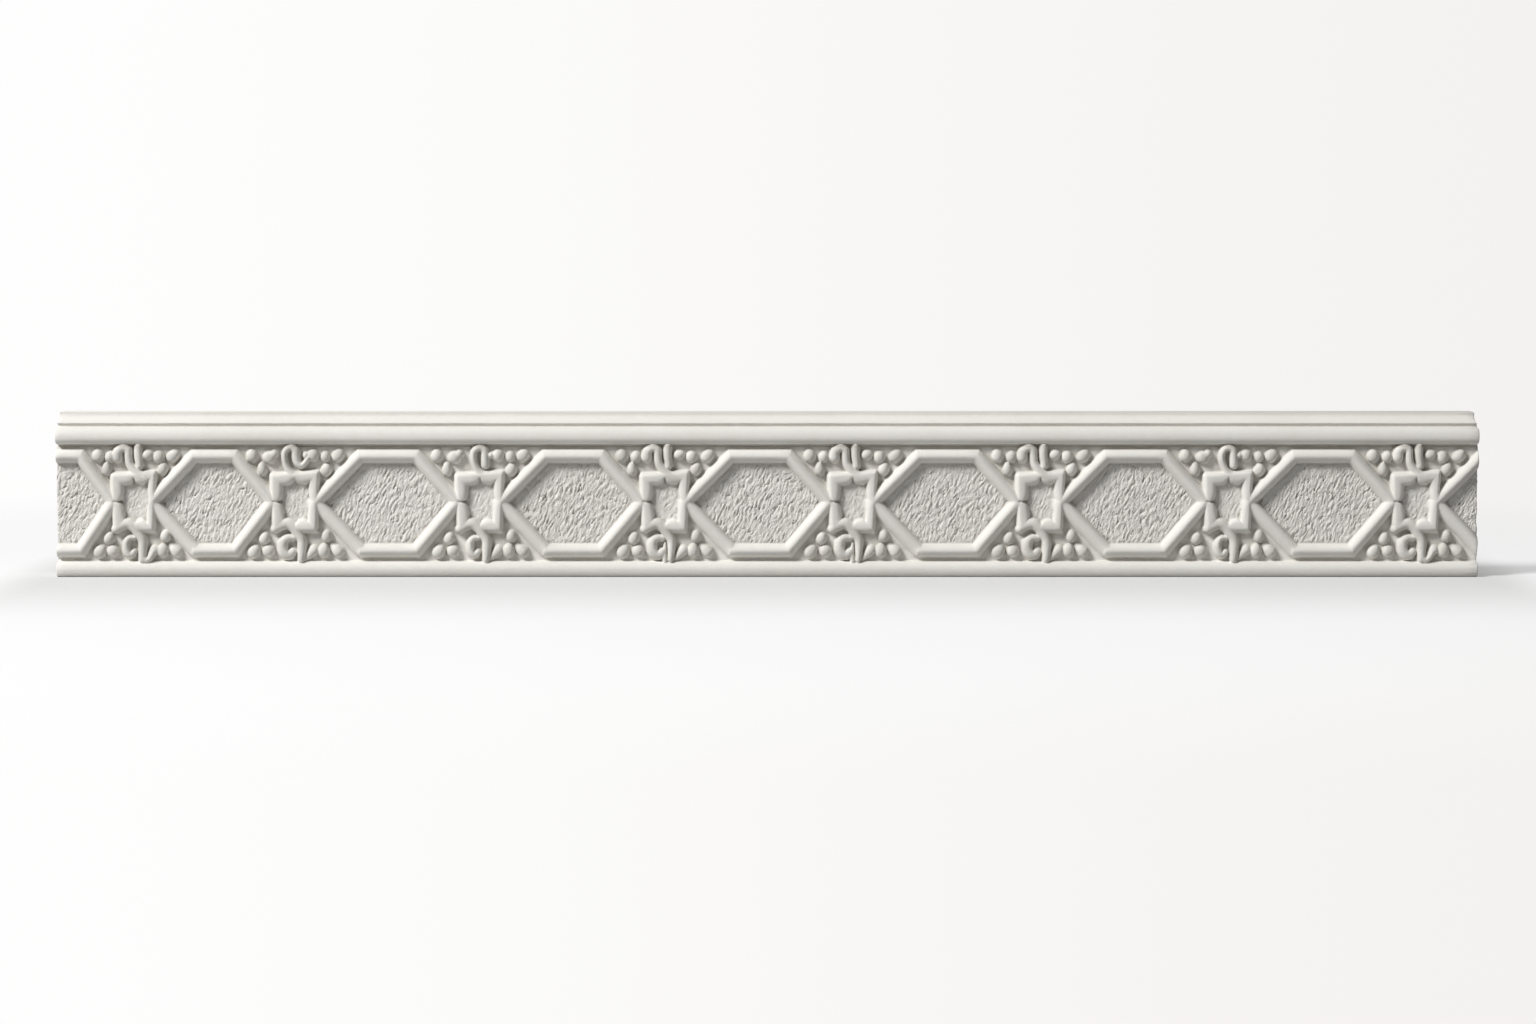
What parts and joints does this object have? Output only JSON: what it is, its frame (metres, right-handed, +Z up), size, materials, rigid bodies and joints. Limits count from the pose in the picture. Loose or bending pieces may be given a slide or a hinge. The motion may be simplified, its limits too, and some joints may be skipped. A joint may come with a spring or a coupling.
{
  "type": "crown moulding",
  "caption": "Cast plaster crown moulding for the top of a wall, with a cove over a roll and a carved band of hexagons, stars, berries and sprigs over a base roll.",
  "frame": {"origin": "middle of the underside, halfway along the length and halfway between the nose of the rolls and the flat back", "axes": "+X along the length to the right as seen from the front, +Y towards the wall, +Z up; the carved face looks towards -Y"},
  "size_m": [1, 0.034, 0.1155],
  "materials": {
    "plaster": "matte"
  },
  "bodies": {
    "root": {"crown_moulding": "plaster"}
  },
  "joints": []
}
